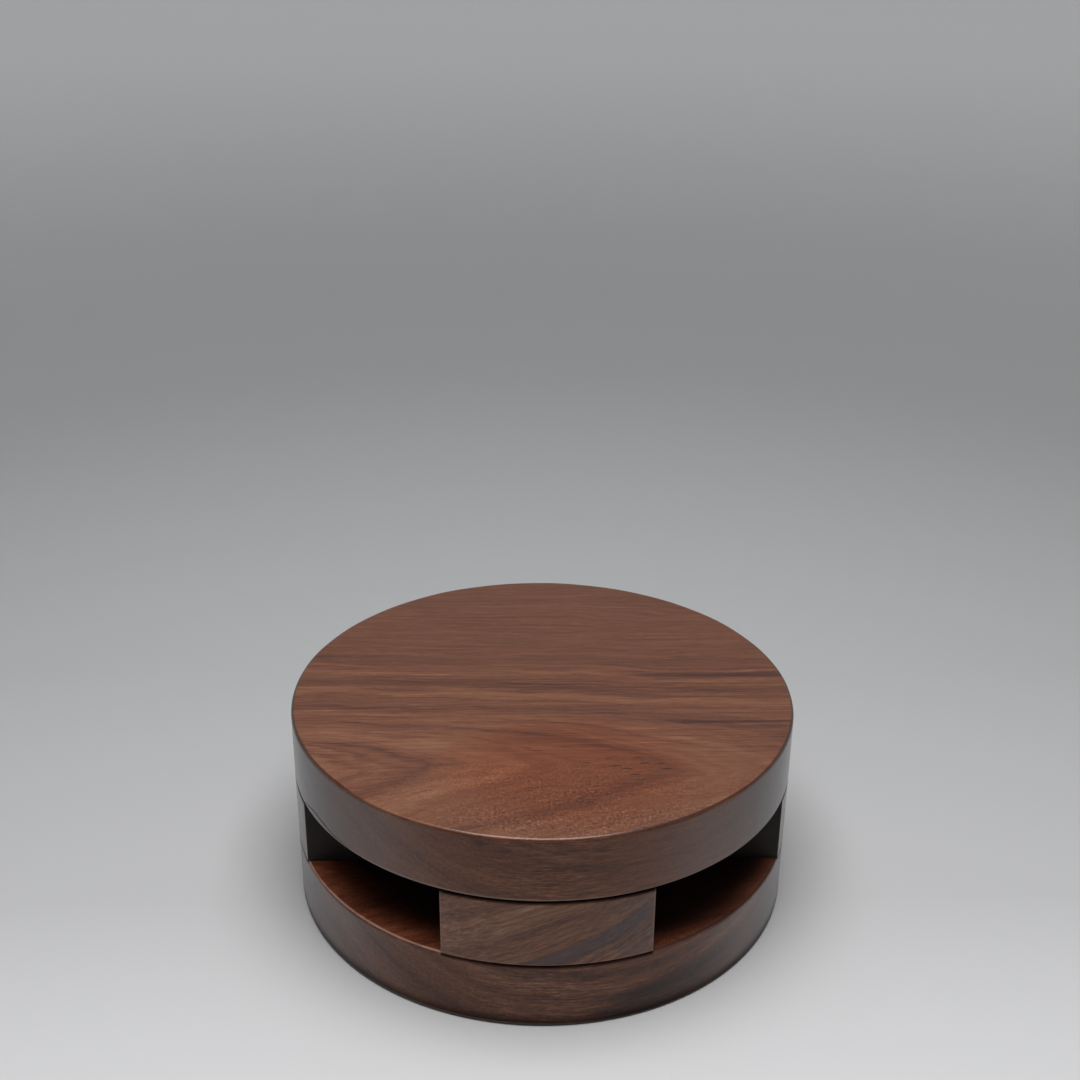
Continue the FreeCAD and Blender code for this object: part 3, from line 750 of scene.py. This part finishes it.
# a hairline split above the seam, as (degrees round the axis, height in millimetres)
split_points = [(202.4, 84.25), (206.0, 87.1), (210.0, 88.7), (213.4, 87.9), (216.2, 86.7), (218.2, 85.8),
                (221.5, 85.5), (224.6, 84.4)]
split_path = [(degrees, level * MM) for degrees, level in split_points]
carved(top, [split_cutter(rng, split_path, width=seam_split_width, depth=seam_split_depth)])

base = finished(turned_mesh("walnut_base_disc", base_profile(wander(rng)), through=True), "walnut_base_disc")
base_cuts = []
for quarter in range(4):
    quarter_turn = Matrix.Rotation(math.radians(90 * quarter), 3, "Z")
    angle = math.radians(45 + 90 * quarter)
    foot_x, foot_y = foot_circle_r * math.cos(angle), foot_circle_r * math.sin(angle)
    base_cuts.append(round_cutter(foot_pocket_r, 0.0, foot_pocket_depth, foot_x, foot_y))
    for side in (-1, 1):
        screw = quarter_turn @ Vector((side * block_screw_side, -block_screw_reach, 0))
        base_cuts.append(round_cutter(screw_pocket_r, 0.0, screw_pocket_depth, screw.x, screw.y))
chip_place = (disc_r * math.cos(chip_angle), disc_r * math.sin(chip_angle), base_high.z)
base_cuts.append(dent_cutter(rng, chip_place, chip_size, chip_angle))
carved(base, base_cuts)


# ---- the spacer blocks -------------------------------------------------------------------------------
def block_mesh(name, turn, wear):
    """A block with parallel sides and an outer end that follows the rim and has the discs' upper round."""
    outer_r = block_outer_r
    half = block_half_width
    end_angle = math.asin(half / outer_r)
    corner_round = block_round * 1.1
    corners = [(half, block_inner_y, corner_round), (-half, block_inner_y, corner_round)]
    arc_steps = 64
    for k in range(arc_steps + 1):
        a = -end_angle + 2 * end_angle * k / arc_steps
        radius = corner_round if k in (0, arc_steps) else 0
        corners.append((outer_r * math.sin(a), -outer_r * math.cos(a), radius))
    outline = with_round_corners(corners, 5)
    count = len(outline)
    upper_rounds = []
    under_rounds = []
    for i, p in enumerate(outline):
        at_end = 1 if p.length > outer_r - 0.1 * MM else 0
        worn = 0.86 + 0.14 * wear(math.tau * i / count)
        upper_rounds.append(worn * (upper_rim_round if at_end else block_round))
        under_rounds.append(worn * (0.5 * block_round if at_end else block_round))
    normals = []
    for i in range(count):
        tangent = outline[(i + 1) % count] - outline[i - 1]
        normals.append(Vector((tangent.y, -tangent.x)).normalized())
    low, high = block_low.z, block_high.z
    levels = []
    for k in range(round_steps + 1):
        a = math.pi / 2 * k / round_steps
        levels.append((1 - math.sin(a), low, 1 - math.cos(a)))
    levels.append((0, low, 2.0))
    levels.append((0, high, -2.0))
    for k in range(round_steps + 1):
        a = math.pi / 2 * (1 - k / round_steps)
        levels.append((1 - math.sin(a), high, -(1 - math.cos(a))))
    vertices = []
    for inset, level, rise in levels:
        for i in range(count):
            size = upper_rounds[i] if level == high else under_rounds[i]
            p = outline[i] - normals[i] * (inset * size)
            vertices.append(Vector((p.x, p.y, level + rise * size)))
    faces = []
    for row in range(len(levels) - 1):
        for i in range(count):
            j = (i + 1) % count
            a, b = row * count, (row + 1) * count
            faces.append((a + i, a + j, b + j, b + i))
    faces.append(tuple(range(count))[::-1])
    faces.append(tuple(range(len(vertices) - count, len(vertices))))
    mesh = bpy.data.meshes.new(name)
    mesh.from_pydata([Matrix.Rotation(turn, 3, "Z") @ v for v in vertices], [], faces)
    mesh.validate()
    return mesh


blocks = {}
for quarter, place in enumerate(("front", "right", "back", "left")):
    name = "walnut_" + place + "_block"
    turn = math.radians(90 * quarter)
    block = finished(block_mesh(name, turn, wander(rng)), name)
    weighted = block.modifiers.new("flat_faces", "WEIGHTED_NORMAL")
    weighted.keep_sharp = True
    blocks[place] = block

# ---- materials ---------------------------------------------------------------------------------------
# heights, growth depths and places are in millimetres here, as in the walnut part above
base_head = base_high.z / MM
block_foot = block_low.z / MM
block_head = block_high.z / MM
block_reach = block_half_width / MM
block_seam = (block_head - 0.3, block_head - 2.1)

top_growth = [
    (105.0, 0.54), (112.0, 0.62), (115.5, 0.46), (118.5, 0.60), (122.0, 0.52), (125.0, 0.39), (129.5, 0.68),
    (137.5, 0.70), (140.5, 0.50), (146.0, 0.57), (152.0, 0.56), (157.5, 0.39), (161.5, 0.62), (169.0, 0.56),
    (180.0, 0.50),
]
top_streaks = [
    (5.0, 2.0, -35.0, -75.0, 0.14),
    (-4.0, 1.4, 55.0, 90.0, 0.12),
    (6.0, 1.6, 60.0, 110.0, 0.16),
    (18.0, 6.0, 25.0, 75.0, -0.26),
    (-36.0, 1.6, 62.0, 95.0, -0.30),
    (44.0, 2.0, -60.0, -100.0, -0.12),
    (-22.0, 1.4, -70.0, -110.0, 0.14),
    (-15.0, 1.4, 70.0, 40.0, 0.10),
]
front_growth = [
    (-25.0, 0.58), (-6.0, 0.62), (-1.0, 0.44), (11.0, 0.42), (14.0, 0.62), (20.0, 0.52), (26.0, 0.68),
    (31.0, 0.52), (37.0, 0.90), (42.0, 0.70), (46.0, 0.88), (52.0, 0.50), (68.0, 0.42),
]
wood_top = walnut(
    "walnut_top", arched_rings, seed=3.0, upright_shade=0.70, growth=top_growth, streaks=top_streaks,
    dashes=(48.0, -83.0, 34.0, 11.0), warm_shade_spot=(12.0, -85.0, 85.0, 65.0),
    heights=(top_low.z / MM, top_high.z / MM), rim_wear_and_highlight=0.45, rim_lit_span=(-114.0, -92.0, 5.0, 55.0),
    glossy=(0.20, 0.42),
)
wood_base = walnut(
    "walnut_base", arched_rings, seed=31.0, lay={"pith_y": -70.0, "climb": 0.18},
    shade=0.98, upright_shade=0.74, contrast=1.25, end_tint=(1.00, 1.22, 1.42), level_tint=(1.16, 1.0, 0.92),
    dark_side_spot=(68.0, 14.0, 48.0, 14.0, 0.36), shaded_inside=(126.0, 151.5), dark_foot=10.0,
    seam_shade=(base_head - 1.2, base_head - 3.3), blocks_reach=block_reach,
    heights=(base_low.z / MM, base_head), rim_wear_and_highlight=0.75, worn_highlight_colour=(0.75, 0.46, 0.36),
    rim_lit_span=(-150.0, -138.0, -50.0, -25.0), gloss=0.74, sheen_angles=(0.38, 0.98), glossy=(0.28, 0.60),
)
wood_front = walnut(
    "walnut_front_block", slanted_rings, seed=57.0, slant=0.0, along_rings=True, growth=front_growth,
    shade=0.90, upright_shade=1.0, contrast=1.1, end_tint=(0.98, 1.34, 1.68), grey_band=(-2.5, 14.5),
    seam_shade=block_seam, rim_wear_and_highlight=0.0, highlighted_ends=(block_reach, block_foot), shaded_walls=True,
)
wood_side = walnut(
    "walnut_side_blocks", slanted_rings, seed=83.0, slant=0.0, lay={"across": 0.2, "away": 0.3, "bow": 0.0},
    seam_shade=block_seam, rim_wear_and_highlight=0.0, shaded_walls=True,
)
finishes = {
    "beech": moulded("beech_dowel", (0.50, 0.34, 0.20), 0.6, grain=1.5),
    "black_rubber": moulded("black_rubber", (0.018, 0.018, 0.019), 0.75),
    "black_plastic": moulded("black_plastic", (0.022, 0.022, 0.024), 0.5),
    "cast_aluminium": metal("cast_aluminium", (0.50, 0.50, 0.49), 0.48, mottle=0.2,
                            depth=0.08 * MM),
    "mild_steel": metal("mild_steel", (0.42, 0.42, 0.43), 0.36, brushed=(6.0, 6.0, 0.25)),
    "bearing_steel": metal("bearing_steel", (0.62, 0.62, 0.64), 0.16, brushed=(5.0, 5.0, 0.2), mottle=0.05),
    "cage_nylon": moulded("cage_nylon", (0.62, 0.55, 0.40), 0.5),
    "zinc_plated_screws": metal("zinc_plate", (0.55, 0.55, 0.53), 0.32, mottle=0.15),
    "black_oxide_screws": metal("black_oxide", (0.045, 0.045, 0.05), 0.4, mottle=0.3),
    "brass": metal("brass", (0.66, 0.46, 0.18), 0.3, brushed=(5.0, 5.0, 0.3)),
}
slots = {row["node"]: row["material_slot"] for row in frame["record"]["subparts"]}
for node, mesh_object in frame["nodes"].items():
    if slots[node] in finishes:
        mesh_object.data.materials.clear()
        mesh_object.data.materials.append(finishes[slots[node]])


def dressed(piece, material, body, node):
    """Gives a rebuilt piece its material, and puts it in the place of its CAD node."""
    piece.data.materials.clear()
    piece.data.materials.append(material)
    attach(piece, body)
    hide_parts(node)


dressed(top, wood_top, "platform", "top_disc")
dressed(base, wood_base, "base", "base_disc")
for place, block in blocks.items():
    dressed(block, wood_front if place == "front" else wood_side, "base", place + "_block")


# ---- studio ------------------------------------------------------------------------------------------
def studio_sweep():
    """A pale floor that curves up into a wall behind the object and to both sides of it."""
    floor_r, wall_r, wall_top, bend = 0.2, 1.9, 1.5, 0.9
    open_front_y = -1.1
    rows = [(0.0, 0.0), (floor_r, 0.0)]
    rows += [(floor_r + (wall_r - bend - floor_r) * k / 12, 0.0) for k in range(1, 13)]
    for k in range(1, 17):
        a = math.pi / 2 * k / 16
        rows.append((wall_r - bend + bend * math.sin(a), bend - bend * math.cos(a)))
    rows.append((wall_r, wall_top))
    mesh = turned_mesh("studio_sweep", lambda angle: rows, segments=128)
    build = bmesh.new()
    build.from_mesh(mesh)
    front_wall = []
    for face in build.faces:
        middle = face.calc_center_median()
        if middle.y < open_front_y and middle.z > 0.01:
            front_wall.append(face)
    bmesh.ops.delete(build, geom=front_wall, context="FACES")
    build.to_mesh(mesh)
    build.free()
    return finished(mesh, "studio_sweep")


sweep = studio_sweep()
paper = Shader("pale_paper")
paper_place = paper.position()
_, paper_y, paper_z = paper.parts(paper_place)
paper_speck = paper.noise(paper_place, scale=0.02, detail=4)
# the paper's colour holds painted light: pale in front, darker from the object back, and lighter up the wall
paper_with_painted_light = paper.ramp(paper.step(paper_y, -500.0, 1100.0), [
    (0.0, (0.90, 0.90, 0.91)),
    (0.13, (0.71, 0.71, 0.72)),
    (0.20, (0.60, 0.60, 0.61)),
    (0.45, (0.52, 0.525, 0.53)),
    (1.0, (0.50, 0.505, 0.51)),
])
painted_wall_light = paper.step(paper_z, 0.0, 400.0)
paper_with_painted_light = paper.mix(painted_wall_light, paper_with_painted_light, (0.86, 0.865, 0.87))
paper_with_painted_light = paper.mix(paper.span(paper_speck, 0.0, 0.04), paper_with_painted_light, (0.7, 0.7, 0.7))
sweep.data.materials.append(paper.finish({"Base Color": paper_with_painted_light, "Roughness": 0.85}))

world = bpy.data.worlds.new("studio")
world.use_nodes = True
sky = world.node_tree.nodes["Background"]
sky.inputs["Color"].default_value = (0.93, 0.96, 1.0, 1.0)
sky.inputs["Strength"].default_value = 0.08
bpy.context.scene.world = world


def soft_light(name, place, target, width, height, power):
    """A rectangular soft box that faces a point."""
    lamp = bpy.data.lights.new(name, "AREA")
    lamp.shape = "RECTANGLE"
    lamp.size = width
    lamp.size_y = height
    lamp.energy = power
    holder = bpy.data.objects.new(name, lamp)
    holder.location = place
    holder.rotation_euler = (Vector(target) - Vector(place)).to_track_quat("-Z", "Y").to_euler()
    bpy.context.scene.collection.objects.link(holder)
    return holder


lights = [
    soft_light("overhead_box", (0.01, -0.25, 1.35), (0.01, -0.25, 0), 0.9, 0.9, 15.5),
    soft_light("wall_wash", (0, 0.7, 2.0), (0, 1.9, 0.5), 2.0, 0.5, 4.5),
]

# ---- camera ------------------------------------------------------------------------------------------
camera_place = Vector((-0.0212, -0.7602, 0.5661))
camera_heading = math.radians(-1.43)
camera_looks_down = 24.28
camera_tilt = math.radians(90 - camera_looks_down)
camera_roll = math.radians(0.477)
lens = bpy.data.cameras.new("camera")
lens.sensor_width = 36.0
lens.lens = 48.33
camera = bpy.data.objects.new("camera", lens)
camera.rotation_euler = (
    Matrix.Rotation(camera_heading, 3, "Z")
    @ Matrix.Rotation(camera_tilt, 3, "X")
    @ Matrix.Rotation(camera_roll, 3, "Z")
).to_euler()
camera.location = camera_place
bpy.context.scene.collection.objects.link(camera)
bpy.context.scene.camera = camera
bpy.context.scene.view_settings.view_transform = "Standard"
